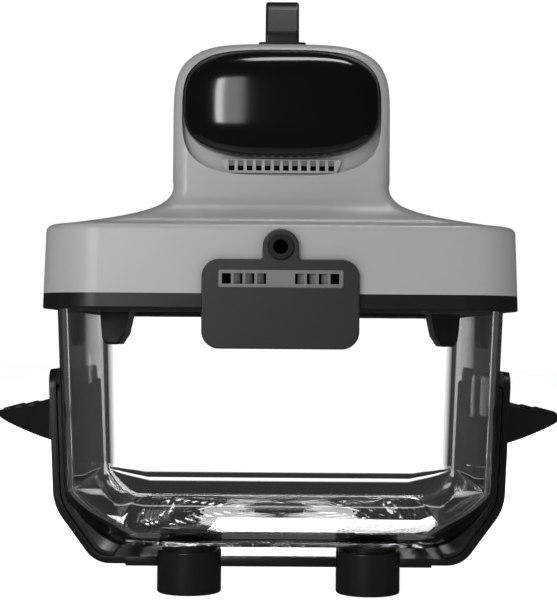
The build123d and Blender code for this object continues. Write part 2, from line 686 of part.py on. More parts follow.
with BuildPart() as heat_shield:
    with BuildSketch(Plane.XZ) as wall:
        with BuildLine():
            shield_line = Polyline((6, SHIELD_TOP), (76, SHIELD_TOP), (90, SHIELD_LOW), (100, SHIELD_LOW))
            offset(shield_line, amount=SHIELD_T, side=Side.LEFT)
        make_face()
    revolve(wall.sketch, axis=Axis.Z)
    for side in (-1, 1):
        disc(ELEMENT_R + 0.5, SHIELD_TOP - 1, SHIELD_TOP + 2, Mode.SUBTRACT, centre=(side * 12, 71))
save(heat_shield.part, "heat_shield")

with BuildPart() as insulation:
    disc(INSULATION_R[1], *INSULATION_Z, hole=INSULATION_R[0])
save(insulation.part, "insulation_ring")

LEAD_Y = (ELEMENT_TURNS[0] ** 2 - LEAD_X**2) ** 0.5

# Two turns of tube joined by short bridges, with both leads turned up through the shield.
with BuildPart() as heating_element:
    with BuildSketch(Plane.XZ) as tube:
        with Locations([(turn, ELEMENT_Z) for turn in ELEMENT_TURNS]):
            Circle(ELEMENT_R)
    revolve(tube.sketch, axis=Axis.Z)
    for x in (-LEAD_X, LEAD_X):
        disc(ELEMENT_R - 0.3, ELEMENT_Z, SHIELD_TOP + 2, centre=(x, LEAD_Y))
        with BuildSketch(Plane.XZ.offset(-ELEMENT_TURNS[1] + 2)) as bridge:
            with Locations((x, ELEMENT_Z)):
                Circle(ELEMENT_R - 0.3)
        extrude(bridge.sketch, amount=-(LEAD_Y - ELEMENT_TURNS[1] + 2))
save(heating_element.part, "heating_element")

with BuildPart() as fan_guard:
    with BuildSketch(Plane.XY.offset(GUARD_Z[0])):
        for outer in GUARD_HOOPS:
            with BuildSketch(mode=Mode.PRIVATE) as hoop:
                Circle(outer)
                Circle(outer - GUARD_BAR, mode=Mode.SUBTRACT)
            add(hoop.sketch)
        with PolarLocations(52, 8):
            Rectangle(76, 3)
        Circle(16)
    extrude(amount=GUARD_Z[1] - GUARD_Z[0])
save(fan_guard.part, "fan_guard")

with BuildPart() as motor_deck:
    disc(96, *DECK_Z, hole=11)
save(motor_deck.part, "motor_deck")

with BuildPart() as motor_can:
    disc(MOTOR_R, *MOTOR_Z, hole=BEARING_R + GAP)
    disc(MOTOR_R - 1.5, MOTOR_Z[0] + END_PLATE, MOTOR_Z[1] - END_PLATE, Mode.SUBTRACT)
save(motor_can.part, "motor_can")

with BuildPart() as motor_stator:
    disc(MOTOR_R - 1.6, MOTOR_Z[0] + 9, MOTOR_Z[1] - 9, hole=19)
save(motor_stator.part, "motor_stator")

for name, z in (("lower_bearing", MOTOR_Z[0]), ("upper_bearing", MOTOR_Z[1] - END_PLATE)):
    with BuildPart() as bearing:
        disc(BEARING_R, z, z + END_PLATE, hole=SHAFT_R + BEARING_GAP)
    save(bearing.part, name)

with BuildPart() as motor_shaft:
    disc(SHAFT_R, ELEMENT_Z - 1, MOTOR_Z[1] + 4)
save(motor_shaft.part, "motor_shaft")

with BuildPart() as motor_rotor:
    disc(18.4, MOTOR_Z[0] + 10, MOTOR_Z[1] - 10, hole=SHAFT_R + GAP)
save(motor_rotor.part, "motor_rotor")


def bladed_wheel(radius, hub_r, blade_low, blade_high, disc_z, blades):
    """Fan wheel: hub, back disc and straight blades set at an angle."""
    disc(radius, *disc_z, hole=SHAFT_R + GAP)
    disc(hub_r, blade_low, disc_z[1], hole=SHAFT_R + GAP)
    for k in range(blades):
        turn = 360 * k / blades
        with BuildSketch(Plane.XY.offset(blade_low)) as blade:
            with Locations(Location((0, 0, 0), (0, 0, 1), turn)):
                with Locations(Location(((radius + hub_r) / 2, 0, 0), (0, 0, 1), 24)):
                    Rectangle(0.62 * radius, 1.2)
        extrude(blade.sketch, amount=blade_high - blade_low)


with BuildPart() as convection_fan:
    bladed_wheel(60, 9, 173, 181.2, (181, 182), 10)
save(convection_fan.part, "convection_fan")

with BuildPart() as cooling_fan:
    bladed_wheel(42, 9, 187, 190.2, (186.2, 187.1), 12)
save(cooling_fan.part, "cooling_fan")

with BuildPart() as fan_nut:
    with BuildSketch(Plane.XY.offset(ELEMENT_Z + 0.5)):
        RegularPolygon(6.5, 6)
        Circle(SHAFT_R + GAP, mode=Mode.SUBTRACT)
    extrude(amount=4.3)
save(fan_nut.part, "fan_nut")

with BuildPart() as power_board:
    with BuildSketch(Plane.XZ.offset(BOARD_Y)) as board:
        with Locations((0, BOARD_MID_Z)):
            Rectangle(*BOARD_SIZE)
    extrude(board.sketch, amount=-BOARD_T)
    # transformer, capacitor, relay and terminal strip
    with BuildSketch(Plane.XZ.offset(BOARD_Y - BOARD_T)) as components:
        with Locations((-24, BOARD_MID_Z + 10)):
            Rectangle(24, 20)
        with Locations((6, BOARD_MID_Z + 6)):
            Circle(8)
        with Locations((28, BOARD_MID_Z + 10)):
            Rectangle(16, 18)
        with Locations((-8, BOARD_MID_Z - 16)):
            Rectangle(40, 10)
    extrude(components.sketch, amount=-COMPONENT_H)
save(power_board.part, "power_board")
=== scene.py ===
import json
import math

import bmesh
import bpy
from mathutils import Matrix, Vector


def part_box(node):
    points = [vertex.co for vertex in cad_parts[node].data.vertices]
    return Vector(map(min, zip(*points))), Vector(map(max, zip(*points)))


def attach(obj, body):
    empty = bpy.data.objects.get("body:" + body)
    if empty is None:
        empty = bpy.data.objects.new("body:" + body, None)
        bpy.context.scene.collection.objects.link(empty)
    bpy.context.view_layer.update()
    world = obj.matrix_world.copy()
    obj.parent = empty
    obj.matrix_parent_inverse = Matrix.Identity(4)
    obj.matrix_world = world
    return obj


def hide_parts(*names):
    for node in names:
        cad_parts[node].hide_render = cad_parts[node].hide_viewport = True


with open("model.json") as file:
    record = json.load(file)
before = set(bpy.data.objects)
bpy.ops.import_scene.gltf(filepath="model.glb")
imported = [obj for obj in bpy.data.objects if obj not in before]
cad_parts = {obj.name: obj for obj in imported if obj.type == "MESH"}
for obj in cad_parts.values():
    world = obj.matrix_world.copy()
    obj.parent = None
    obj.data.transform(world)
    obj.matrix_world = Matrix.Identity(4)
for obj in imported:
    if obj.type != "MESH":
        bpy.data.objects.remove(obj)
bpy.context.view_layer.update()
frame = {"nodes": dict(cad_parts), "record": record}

# Glass-container air fryer seen from behind: heating pod, glass container and cradle.
# Metres, +Z up, -Y the rear of the object, which faces the camera.

NODES = frame["nodes"]


# ---------------- camera ----------------

EYE = Vector((-0.001, -0.885, 0.1378))
PITCH = math.radians(91.39)
ROLL = math.radians(0.42)
LENS_MM = 91.4
SENSOR_MM = 36.0

camera_data = bpy.data.cameras.new("camera")
camera_data.lens = LENS_MM
camera_data.sensor_width = SENSOR_MM
camera = bpy.data.objects.new("camera", camera_data)
camera.matrix_world = (Matrix.Translation(EYE) @ Matrix.Rotation(PITCH, 4, "X")
                       @ Matrix.Rotation(ROLL, 4, "Z"))
bpy.context.scene.collection.objects.link(camera)
bpy.context.scene.camera = camera


# ---------------- object helpers ----------------

def link(obj):
    bpy.context.scene.collection.objects.link(obj)
    return obj


def mesh_object(name, verts, faces, smooth=True):
    mesh = bpy.data.meshes.new(name)
    mesh.from_pydata([tuple(v) for v in verts], [], faces)
    mesh.validate()
    if smooth:
        mesh.polygons.foreach_set("use_smooth", [True] * len(mesh.polygons))
    return link(bpy.data.objects.new(name, mesh))


def area_light(name, place, target, size, power):
    data = bpy.data.lights.new(name, "AREA")
    data.shape = "RECTANGLE"
    data.size, data.size_y = size
    data.energy = power
    lamp = link(bpy.data.objects.new(name, data))
    lamp.location = place
    lamp.rotation_euler = (Vector(target) - Vector(place)).to_track_quat("-Z", "Y").to_euler()
    return lamp


def quad(name, corners):
    return mesh_object(name, corners, [(0, 1, 2, 3)], smooth=False)


# ---------------- stage and light ----------------

FLOOR_HALF = 6.0
floor = quad("floor", [(-FLOOR_HALF, -FLOOR_HALF, 0), (FLOOR_HALF, -FLOOR_HALF, 0),
                       (FLOOR_HALF, FLOOR_HALF, 0), (-FLOOR_HALF, FLOOR_HALF, 0)])

# The studio is white to the eye, straight through glass too, and adds only a dim light to the surfaces.
# Rays that the glass has mirrored find it dim as well, but for one strip light that shows in the thick
# base. The strip fades in and out between the heights in STRIP of the ray's direction, 0 being level.
AMBIENT = 0.03
THROUGH_GLASS = 1.3
MIRRORED_DIM = 0.07
STRIP = (0.103, 0.108, 0.121, 0.126)
# light path depths are whole numbers, so a half stands between none and one
NONE_YET = 0.5

world = bpy.data.worlds.new("studio")
bpy.context.scene.world = world
world.use_nodes = True
sky = world.node_tree
sky.nodes["Background"].inputs["Color"].default_value = (1, 1, 1, 1)

heading = sky.nodes.new("ShaderNodeTexCoord")
split = sky.nodes.new("ShaderNodeSeparateXYZ")
sky.links.new(heading.outputs["Generated"], split.inputs["Vector"])


def sky_step(start, end, first, second):
    """Brightness that goes from first to second between two heights of the ray's direction."""
    step = sky.nodes.new("ShaderNodeMapRange")
    for socket, value in (("From Min", start), ("From Max", end), ("To Min", first), ("To Max", second)):
        step.inputs[socket].default_value = value
    sky.links.new(split.outputs["Z"], step.inputs["Value"])
    return step.outputs["Result"]


def sky_math(operation, first, second):
    node = sky.nodes.new("ShaderNodeMath")
    node.operation = operation
    for k, value in enumerate((first, second)):
        if isinstance(value, (int, float)):
            node.inputs[k].default_value = value
        else:
            sky.links.new(value, node.inputs[k])
    return node.outputs["Value"]


path = sky.nodes.new("ShaderNodeLightPath")
not_mirrored = sky_math("LESS_THAN", path.outputs["Glossy Depth"], NONE_YET)
straight = sky_math("MULTIPLY", not_mirrored, THROUGH_GLASS)
strip_light = sky_math("MINIMUM", sky_step(STRIP[0], STRIP[1], MIRRORED_DIM, THROUGH_GLASS),
                       sky_step(STRIP[2], STRIP[3], THROUGH_GLASS, MIRRORED_DIM))
# surfaces inside the glass are not lit by it
unlit = sky_math("LESS_THAN", path.outputs["Diffuse Depth"], NONE_YET)
clear_view = sky_math("MULTIPLY", path.outputs["Is Transmission Ray"], unlit)
through_glass = sky_math("MULTIPLY", sky_math("MAXIMUM", straight, strip_light), clear_view)
seen = sky_math("MAXIMUM", through_glass, path.outputs["Is Camera Ray"])
sky.links.new(sky_math("MAXIMUM", seen, AMBIENT), sky.nodes["Background"].inputs["Strength"])
bpy.context.scene.view_settings.view_transform = "Standard"

# The two windows at the left are mirrored in the glossy cover.
WINDOW_Y = -0.92
WINDOW_Z = 0.42
WINDOW_H = 0.56
for name, x, width, power in (("window_bright", -0.375, 0.10, 2.6), ("window_soft", -0.235, 0.18, 1.2)):
    area_light(name, (x, WINDOW_Y, WINDOW_Z), (x, 0, WINDOW_Z), (width, WINDOW_H), power)
area_light("top_soft", place=(0.16, -0.25, 1.3), target=(0, 0, 0.25), size=(0.7, 0.22), power=5)

# The wide lights only shade the surfaces.
key_left = area_light("key_left", place=(-0.95, -1.15, 0.75), target=(0, -0.05, 0.22),
                      size=(0.55, 0.8), power=11)
fill_right = area_light("fill_right", place=(1.0, -1.0, 0.65), target=(0, -0.05, 0.2),
                        size=(0.5, 0.9), power=5)
front_fill = area_light("front_fill", place=(0.3, 1.5, 0.9), target=(0, 0, 0.2),
                        size=(0.9, 0.9), power=14)
for shading_light in (key_left, fill_right, front_fill):
    shading_light.visible_glossy = False
floor.visible_glossy = False
floor.visible_transmission = False


# ---------------- materials ----------------

class Shader:
    """A node material: a Principled surface with procedural colour, roughness and bump."""

    def __init__(self, name, color, roughness, metallic=0.0, **sockets):
        self.material = bpy.data.materials.new(name)
        self.material.use_nodes = True
        self.tree = self.material.node_tree
        self.surface = self.tree.nodes["Principled BSDF"]
        self.surface.inputs["Base Color"].default_value = (*color, 1)
        self.surface.inputs["Roughness"].default_value = roughness
        self.surface.inputs["Metallic"].default_value = metallic
        for socket, value in sockets.items():
            self.surface.inputs[socket.replace("_", " ")].default_value = value
        self.color = color
        self.roughness = roughness

    def add(self, kind, **values):
        node = self.tree.nodes.new(kind)
        for key, value in values.items():
            if key in node.inputs:
                node.inputs[key].default_value = value
            else:
                setattr(node, key, value)
        return node

    def wire(self, out_node, out_name, in_node, in_name):
        self.tree.links.new(out_node.outputs[out_name], in_node.inputs[in_name])

    def noise(self, scale, detail=3.0):
        place = self.add("ShaderNodeTexCoord")
        grain = self.add("ShaderNodeTexNoise", Scale=scale, Detail=detail)
        self.wire(place, "Object", grain, "Vector")
        return grain

    def tint(self, scale, spread):
        """The colour drifts slightly over the surface."""
        drift = self.noise(scale)
        ramp = self.add("ShaderNodeValToRGB")
        low = [c * (1 - spread) for c in self.color]
        high = [min(c * (1 + spread), 1) for c in self.color]
        ramp.color_ramp.elements[0].position = 0.3
        ramp.color_ramp.elements[0].color = (*low, 1)
        ramp.color_ramp.elements[1].position = 0.7
        ramp.color_ramp.elements[1].color = (*high, 1)
        self.wire(drift, "Fac", ramp, "Fac")
        self.wire(ramp, "Color", self.surface, "Base Color")
        return self

    def smudge(self, scale, spread):
        """The roughness varies, as on a handled surface."""
        patch = self.noise(scale)
        span = self.add("ShaderNodeMapRange")
        span.inputs["To Min"].default_value = max(self.roughness - spread, 0.02)
        span.inputs["To Max"].default_value = min(self.roughness + spread, 1)
        self.wire(patch, "Fac", span, "Value")
        self.wire(span, "Result", self.surface, "Roughness")
        return self

    def grain(self, scale, height):
        """Fine moulded texture, as a bump."""
        fine = self.noise(scale, detail=2.0)
        bump = self.add("ShaderNodeBump", Strength=0.6, Distance=height)
        self.wire(fine, "Fac", bump, "Height")
        self.wire(bump, "Normal", self.surface, "Normal")
        return self


def moulded(name, color, roughness, grain=0.00004, scale=1800, **sockets):
    """Plastic, rubber, fibre or board: a nearly even colour with a fine grain."""
    shade = Shader(name, color, roughness, **sockets)
    shade.tint(scale=9, spread=0.04).smudge(scale=14, spread=0.05).grain(scale, grain)
    return shade.material


DRAWN_LINES = (40, 1800, 1800)


def brushed(name, color, roughness):
    """Metal with fine drawn lines."""
    metal = Shader(name, color, roughness, metallic=1.0).tint(scale=20, spread=0.06)
    place = metal.add("ShaderNodeTexCoord")
    stretch = metal.add("ShaderNodeMapping")
    stretch.inputs["Scale"].default_value = DRAWN_LINES
    lines = metal.add("ShaderNodeTexNoise", Scale=1.0, Detail=4.0)
    bump = metal.add("ShaderNodeBump", Strength=0.3, Distance=0.00005)
    metal.wire(place, "Object", stretch, "Vector")
    metal.wire(stretch, "Vector", lines, "Vector")
    metal.wire(lines, "Fac", bump, "Height")
    metal.wire(bump, "Normal", metal.surface, "Normal")
    return metal.material


def clear_glass():
    """Colourless glass with slightly wavy faces."""
    glass = Shader("clear_glass", (0.985, 0.99, 0.99), 0.0, IOR=1.47, Transmission_Weight=1.0)
    waves = glass.noise(scale=18, detail=1.0)
    bump = glass.add("ShaderNodeBump", Strength=0.15, Distance=0.0002)
    glass.wire(waves, "Fac", bump, "Height")
    glass.wire(bump, "Normal", glass.surface, "Normal")
    return glass.material


def glowing(name, color, strength):
    """Lit figures behind dark glass."""
    shade = Shader(name, color, 0.4).tint(scale=40, spread=0.05)
    shade.surface.inputs["Emission Color"].default_value = (*color, 1)
    shade.surface.inputs["Emission Strength"].default_value = strength
    return shade.material


LOOKS = {
    "housing_grey": moulded("housing_grey", (0.22, 0.22, 0.222), 0.34),
    "band_black": moulded("band_black", (0.014, 0.015, 0.0145), 0.42, Specular_IOR_Level=0.35),
    "cradle_black": moulded("cradle_black", (0.0055, 0.0055, 0.0055), 0.34, Specular_IOR_Level=0.35),
    "gloss_black": moulded("gloss_black", (0.002, 0.002, 0.002), 0.13, grain=0.000003, scale=300),
    # Painted shade: a dead black with almost no shine, for the backs of the vent holes, where only shade
    # falls.
    "painted_hole_shade": moulded("painted_hole_shade", (0.001, 0.001, 0.001), 0.9, Specular_IOR_Level=0.05),
    "mark_white": moulded("mark_white", (0.75, 0.77, 0.78), 0.4),
    "display": moulded("display", (0.004, 0.004, 0.006), 0.05, grain=0.000004, scale=300),
    # The vent parts are grey like the housing; this darker grey is painted shade of the recesses they sit
    # in.
    "vent_grey": moulded("vent_grey", (0.10, 0.10, 0.10), 0.45),
    "rubber": moulded("rubber", (0.005, 0.005, 0.005), 0.6, grain=0.00006, scale=2500,
                      Specular_IOR_Level=0.3),
    "liner": moulded("liner", (0.008, 0.008, 0.008), 0.5, Specular_IOR_Level=0.3),
    "glass": clear_glass(),
    "steel": brushed("steel", (0.55, 0.55, 0.55), 0.3),
    "aluminium": brushed("aluminium", (0.7, 0.7, 0.71), 0.35),
    "element": moulded("element", (0.05, 0.045, 0.04), 0.5, grain=0.0001, scale=900),
    "fibre": moulded("fibre", (0.7, 0.67, 0.6), 0.95, grain=0.0004, scale=500),
    "board": moulded("board", (0.01, 0.07, 0.03), 0.4),
    "figure_glow": glowing("figure_glow", (0.75, 0.85, 0.9), 0.8),
    "lip_grey": moulded("lip_grey", (0.16, 0.16, 0.16), 0.6),
}


def lit_white(name, strength):
    """White stage surface that also gives light, for a clean white ground."""
    shade = Shader(name, (0.9, 0.9, 0.9), 0.7).tint(scale=2, spread=0.01)
    shade.surface.inputs["Emission Color"].default_value = (1, 1, 1, 1)
    shade.surface.inputs["Emission Strength"].default_value = strength
    return shade.material


floor.data.materials.append(lit_white("floor_white", 0.95))


# Dark cards beyond the container, seen only through the glass: one at each side shades its edges, and two
# low ones draw the lines in its thick base.
CARD_Y = 0.6
CARD_X = (0.192, 0.60)
CARD_Z = (-0.12, 0.20)
CARD_FADE = 0.035
LOW_CARD_Y = 0.42
LOW_CARDS_Z = ((-0.12, -0.010), (-0.006, 0.004))
LOW_CARD_FADE = 0.002
CARD_DIM = 0.03


def card_shade(axis, start, end):
    """Glows at the card's inner edge and is dark beyond it."""
    shade = Shader("card", (0.0, 0.0, 0.0), 1.0)
    place = shade.add("ShaderNodeTexCoord")
    axes = shade.add("ShaderNodeSeparateXYZ")
    fade = shade.add("ShaderNodeMapRange")
    for socket, value in (("From Min", start), ("From Max", end), ("To Min", 1.0), ("To Max", CARD_DIM)):
        fade.inputs[socket].default_value = value
    shade.wire(place, "Object", axes, "Vector")
    shade.wire(axes, axis, fade, "Value")
    shade.surface.inputs["Emission Color"].default_value = (1, 1, 1, 1)
    shade.wire(fade, "Result", shade.surface, "Emission Strength")
    return shade.material


def card(name, x, y, z, material):
    obj = quad(name, [(x[0], y, z[0]), (x[1], y, z[0]), (x[1], y, z[1]), (x[0], y, z[1])])
    obj.data.materials.append(material)
    obj.visible_camera = obj.visible_glossy = obj.visible_diffuse = obj.visible_shadow = False


for side, hand in ((-1, "left"), (1, "right")):
    card(f"card_{hand}", (side * CARD_X[0], side * CARD_X[1]), CARD_Y, CARD_Z,
         card_shade("X", side * CARD_X[0], side * (CARD_X[0] + CARD_FADE)))
for tier, low_card_z in zip(("lower", "upper"), LOW_CARDS_Z):
    card(f"card_{tier}", (-CARD_X[1], CARD_X[1]), LOW_CARD_Y, low_card_z,
         card_shade("Z", low_card_z[1], low_card_z[1] - LOW_CARD_FADE))


# ---------------- looks of the CAD nodes ----------------

slot_of = {entry["node"]: entry["material_slot"] for entry in frame["record"]["subparts"]}
for node, obj in NODES.items():
    obj.data.materials.clear()
    obj.data.materials.append(LOOKS[slot_of[node]])
NODES["head_vent_grille"].data.materials[0] = LOOKS["housing_grey"]
for node in ("right_leg", "left_leg", "base_band"):
    NODES[node].data.materials[0] = LOOKS["cradle_black"]


def finish_piece(obj, body, look, replaces=()):
    """Ride on a body, take a material, and stand for CAD nodes where given."""
    obj.data.materials.append(LOOKS[look])
    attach(obj, body)
    if replaces:
        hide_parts(*replaces)
    return obj


# ---------------- glass container ----------------

PER_CORNER = 26
PER_SIDE = 94
RING_MARGIN = 0.001
RING_LEAST_R = 0.0005


def rounded_ring(half_w, half_d, radius, z):
    """Points around a rounded rectangle, the same number at every size."""
    radius = max(min(radius, half_w - RING_MARGIN, half_d - RING_MARGIN), RING_LEAST_R)
    points = []
    corners = ((1, 1), (-1, 1), (-1, -1), (1, -1))

    def corner_point(corner, turn):
        return Vector((corner[0] * (half_w - radius) + radius * math.cos(turn),
                       corner[1] * (half_d - radius) + radius * math.sin(turn), z))

    for quarter, corner in enumerate(corners):
        for k in range(PER_CORNER):
            points.append(corner_point(corner, math.pi / 2 * (quarter + k / PER_CORNER)))
        end = math.pi / 2 * (quarter + 1)
        side_start = corner_point(corner, end)
        side_end = corner_point(corners[(quarter + 1) % 4], end)
        for k in range(PER_SIDE):
            points.append(side_start.lerp(side_end, k / PER_SIDE))
    return points


def ring_skin(name, rings):
    """Closed surface through a row of rings, capped at both ends."""
    verts, faces = [], []
    count = len(rings[0])
    for ring in rings:
        verts += ring
    for r in range(len(rings) - 1):
        for k in range(count):
            after = (k + 1) % count
            faces.append((r * count + k, r * count + after, (r + 1) * count + after, (r + 1) * count + k))
    for r, flip in ((0, True), (len(rings) - 1, False)):
        centre = len(verts)
        verts.append(sum(rings[r], Vector()) / count)
        for k in range(count):
            after = (k + 1) % count
            faces.append((r * count + after, r * count + k, centre) if flip else
                         (r * count + k, r * count + after, centre))
    return mesh_object(name, verts, faces)


GLASS_LOW, GLASS_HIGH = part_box("glass_container")
RIM_HALF_W, RIM_HALF_D = GLASS_HIGH.x, GLASS_HIGH.y
SHALLOWER = RIM_HALF_W - RIM_HALF_D
CORNER_R = 0.029
CORNER_TIGHTENS = 0.4
KNEE_Z = 0.057
WALL_DRAFT = 0.042
WALL_T = 0.0045
FLOOR_T = 0.006
FOOT_IN = 0.025
BEVEL_POWER = 1.3
BEVEL_STEPS = 14
RIM_STEPS = 6
# rings that hold the wall straight between the bevel and the rim
WALL_RINGS_Z = (0.0585, 0.062, 0.075, 0.1, 0.125)
RINGS_BELOW_RIM = (0.0045, 0.0028)

# The pressed pattern under the foot, from the middle out: a smooth disc, rows of dots, three ridges, a band
# of small ribs and the edge that it stands on. Half widths, and heights above the foot's lowest face.
PATTERN_H = 0.0026
PATTERN_GAP = 0.0005
PATTERN_CORNER_R = 0.020
DISC_HALF_W = 0.016
DISC_LIFT = 0.0022
DOT_START = 0.0205
DOT_PITCH = 0.0026
DOT_ROWS = 19
DOT_LIFT = 0.0021
DOT_H = 0.0003
RIDGES = 3
RIDGE_START = 0.0695
RIDGE_PITCH = 0.0024
RIDGE_HALF_W = 0.0008
RIDGE_LIFTS = (0.0020, 0.0004, 0.0020)
RIB_BAND = (0.0780, 0.0828)
RIB_LIFT = 0.0005
RIB_H = 0.0020
FOOT_EDGE = 0.0838
INNER_FLOOR_R = 0.018
INNER_FLOOR_HALF_W = (0.078, 0.05, 0.03)


def glass_ring(z, inset):
    """Ring of the container's wall or foot at height z, inset for the inner face."""
    foot = GLASS_LOW.z + (FLOOR_T if inset else 0)
    wall = RIM_HALF_W - WALL_DRAFT * (GLASS_HIGH.z - max(z, KNEE_Z)) - inset
    drop = min(max(KNEE_Z - z, 0) / (KNEE_Z - foot), 1)
    half_w = wall - FOOT_IN * (1 - (1 - drop**BEVEL_POWER) ** (1 / BEVEL_POWER))
    turn_in = RIM_HALF_W - inset - half_w
    return rounded_ring(half_w, half_w - SHALLOWER, CORNER_R - inset - CORNER_TIGHTENS * turn_in, z)


def knurled(ring, height):
    """Lifts every second point, for a band of small ribs."""
    return [point + Vector((0, 0, height if k % 2 else 0)) for k, point in enumerate(ring)]


def foot_ring(half_w, lift, knurl=0.0):
    """Ring of the pressed pattern, lifted from the foot's lowest face."""
    ring = rounded_ring(half_w, half_w - SHALLOWER, PATTERN_CORNER_R, GLASS_LOW.z + lift)
    return knurled(ring, knurl) if knurl else ring


def pattern_rings():
    rings = [foot_ring(half_w, DISC_LIFT) for half_w in (DISC_HALF_W, DOT_START - PATTERN_GAP)]
    for k in range(DOT_ROWS):
        rings.append(foot_ring(DOT_START + DOT_PITCH * k, DOT_LIFT - DOT_H * (k % 2), DOT_H))
    for k in range(RIDGES):
        base = RIDGE_START + RIDGE_PITCH * k
        rings += [foot_ring(base + step * RIDGE_HALF_W, lift) for step, lift in enumerate(RIDGE_LIFTS)]
    rings += [foot_ring(RIB_BAND[0] - PATTERN_GAP, RIB_LIFT), foot_ring(RIB_BAND[0], RIB_LIFT, RIB_H),
              foot_ring(RIB_BAND[1], RIB_LIFT, RIB_H), foot_ring(RIB_BAND[1] + PATTERN_GAP, RIB_LIFT)]
    return rings + [foot_ring(FOOT_EDGE, 0.0)]


def bevel_rings(start_z, end_z, inset):
    """Rings over the bevel between the foot and the wall, closer at its two ends."""
    return [glass_ring(start_z + (end_z - start_z) * (1 - math.cos(math.pi * k / BEVEL_STEPS)) / 2, inset)
            for k in range(BEVEL_STEPS + 1)]


def make_glass():
    """The tub as one skin: underside, outer wall, rim, inner wall and inner floor."""
    foot, rim = GLASS_LOW.z, GLASS_HIGH.z
    floor_z = foot + FLOOR_T
    wall_z = [*WALL_RINGS_Z, *(rim - below for below in RINGS_BELOW_RIM)]
    rings = pattern_rings() + bevel_rings(foot, KNEE_Z, 0.0)
    rings += [glass_ring(z, 0.0) for z in wall_z]
    for k in range(RIM_STEPS + 1):
        turn = math.pi * k / RIM_STEPS
        z = rim - WALL_T / 2 + WALL_T / 2 * math.sin(turn)
        rings.append(glass_ring(z, 0.0 if k == 0 else WALL_T / 2 * (1 - math.cos(turn))))
    rings += [glass_ring(z, WALL_T) for z in reversed(wall_z)]
    rings += bevel_rings(KNEE_Z, floor_z, WALL_T)
    rings += [rounded_ring(half_w, half_w - SHALLOWER, INNER_FLOOR_R, floor_z)
              for half_w in INNER_FLOOR_HALF_W]
    tub = ring_skin("glass_tub", rings)
    # the pressed pattern under the foot keeps its facets
    for face in tub.data.polygons:
        if face.center.z < GLASS_LOW.z + PATTERN_H:
            face.use_smooth = False
    return tub


finish_piece(make_glass(), "container", "glass", ["glass_container"])


# ---------------- mesh helpers ----------------

def slab(bm, corners, depth):
    """Adds a prism: corners on one face, pushed along depth."""
    low = [bm.verts.new(c) for c in corners]
    high = [bm.verts.new(Vector(c) + Vector(depth)) for c in corners]
    bm.faces.new(low)
    bm.faces.new(list(reversed(high)))
    for k in range(len(corners)):
        after = (k + 1) % len(corners)
        bm.faces.new((low[after], low[k], high[k], high[after]))


def block(bm, low, high):
    """Adds an upright box between two corners."""
    slab(bm, [(low[0], low[1], low[2]), (high[0], low[1], low[2]),
              (high[0], low[1], high[2]), (low[0], low[1], high[2])], (0, high[1] - low[1], 0))


def lathe(bm, centre, profile, steps=16):
    """Adds a turned solid about the vertical through centre; profile is (radius, z) from end to end."""
    rings = []
    for radius, z in profile:
        if radius == 0:
            rings.append([bm.verts.new((centre[0], centre[1], z))])
            continue
        ring = []
        for k in range(steps):
            turn = 2 * math.pi * k / steps
            place = (centre[0] + radius * math.cos(turn), centre[1] + radius * math.sin(turn), z)
            ring.append(bm.verts.new(place))
        rings.append(ring)
    for lower, upper in zip(rings, rings[1:]):
        for k in range(steps):
            after = (k + 1) % steps
            corners = [lower[k % len(lower)], lower[after % len(lower)],
                       upper[after % len(upper)], upper[k % len(upper)]]
            bm.faces.new(list(dict.fromkeys(corners)))


def bm_object(name, bm, smooth_angle=None):
    """Object from a bmesh; with an angle, it is smooth but for edges sharper than that."""
    bmesh.ops.recalc_face_normals(bm, faces=bm.faces)
    mesh = bpy.data.meshes.new(name)
    bm.to_mesh(mesh)
    bm.free()
    if smooth_angle is not None:
        mesh.polygons.foreach_set("use_smooth", [True] * len(mesh.polygons))
        mesh.set_sharp_from_angle(angle=smooth_angle)
    return link(bpy.data.objects.new(name, mesh))


EDGE_ANGLE = math.radians(35)
WELD = 0.00002
FLAT_ANGLE = math.radians(0.5)
EASE_SEGMENTS = 3


def eased_copy(node, body, look, width):
    """A copy of a CAD node with softened edges, which stands for the node."""
    bm = bmesh.new()
    bm.from_mesh(NODES[node].data)
    bmesh.ops.remove_doubles(bm, verts=bm.verts, dist=WELD)
    bmesh.ops.dissolve_limit(bm, angle_limit=FLAT_ANGLE, verts=bm.verts, edges=bm.edges)
    obj = bm_object(node + "_eased", bm)
    bevel = obj.modifiers.new("ease", "BEVEL")
    bevel.width = width
    bevel.segments = EASE_SEGMENTS
    bevel.limit_method = "ANGLE"
    bevel.angle_limit = EDGE_ANGLE
    graph = bpy.context.evaluated_depsgraph_get()
    eased = bpy.data.meshes.new_from_object(obj.evaluated_get(graph))
    obj.modifiers.clear()
    obj.data = eased
    eased.polygons.foreach_set("use_smooth", [True] * len(eased.polygons))
    eased.set_sharp_from_angle(angle=EDGE_ANGLE)
    return finish_piece(obj, body, look, [node])


# ---------------- rear cover ----------------

COVER_LOW, COVER_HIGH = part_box("rear_cover")
COVER_STEPS = 96
COVER_RINGS = 28
COVER_TIP = 0.004
COVER_SQUARENESS = 3.0
COVER_DOME = (2.6, 3.2)


def make_cover():
    """Glossy squarish dome, with no flat spot in its middle."""
    half_w = (COVER_HIGH.x - COVER_LOW.x) / 2
    half_h = (COVER_HIGH.z - COVER_LOW.z) / 2
    middle = (COVER_HIGH + COVER_LOW) / 2
    rings = []
    for r in range(COVER_RINGS + 1):
        size = math.sin(math.pi / 2 * (1 - r / COVER_RINGS)) if r < COVER_RINGS else COVER_TIP
        rise = (1 - size ** COVER_DOME[0]) ** (1 / COVER_DOME[1])
        ring = []
        for k in range(COVER_STEPS):
            turn = 2 * math.pi * k / COVER_STEPS
            across, up = math.cos(turn), math.sin(turn)
            corner = abs(across) ** COVER_SQUARENESS + abs(up) ** COVER_SQUARENESS
            reach = size * corner ** (-1 / COVER_SQUARENESS)
            ring.append(Vector((middle.x + half_w * across * reach,
                                COVER_HIGH.y - (COVER_HIGH.y - COVER_LOW.y) * rise,
                                middle.z + half_h * up * reach)))
        rings.append(ring)
    return ring_skin("cover_shell", rings)


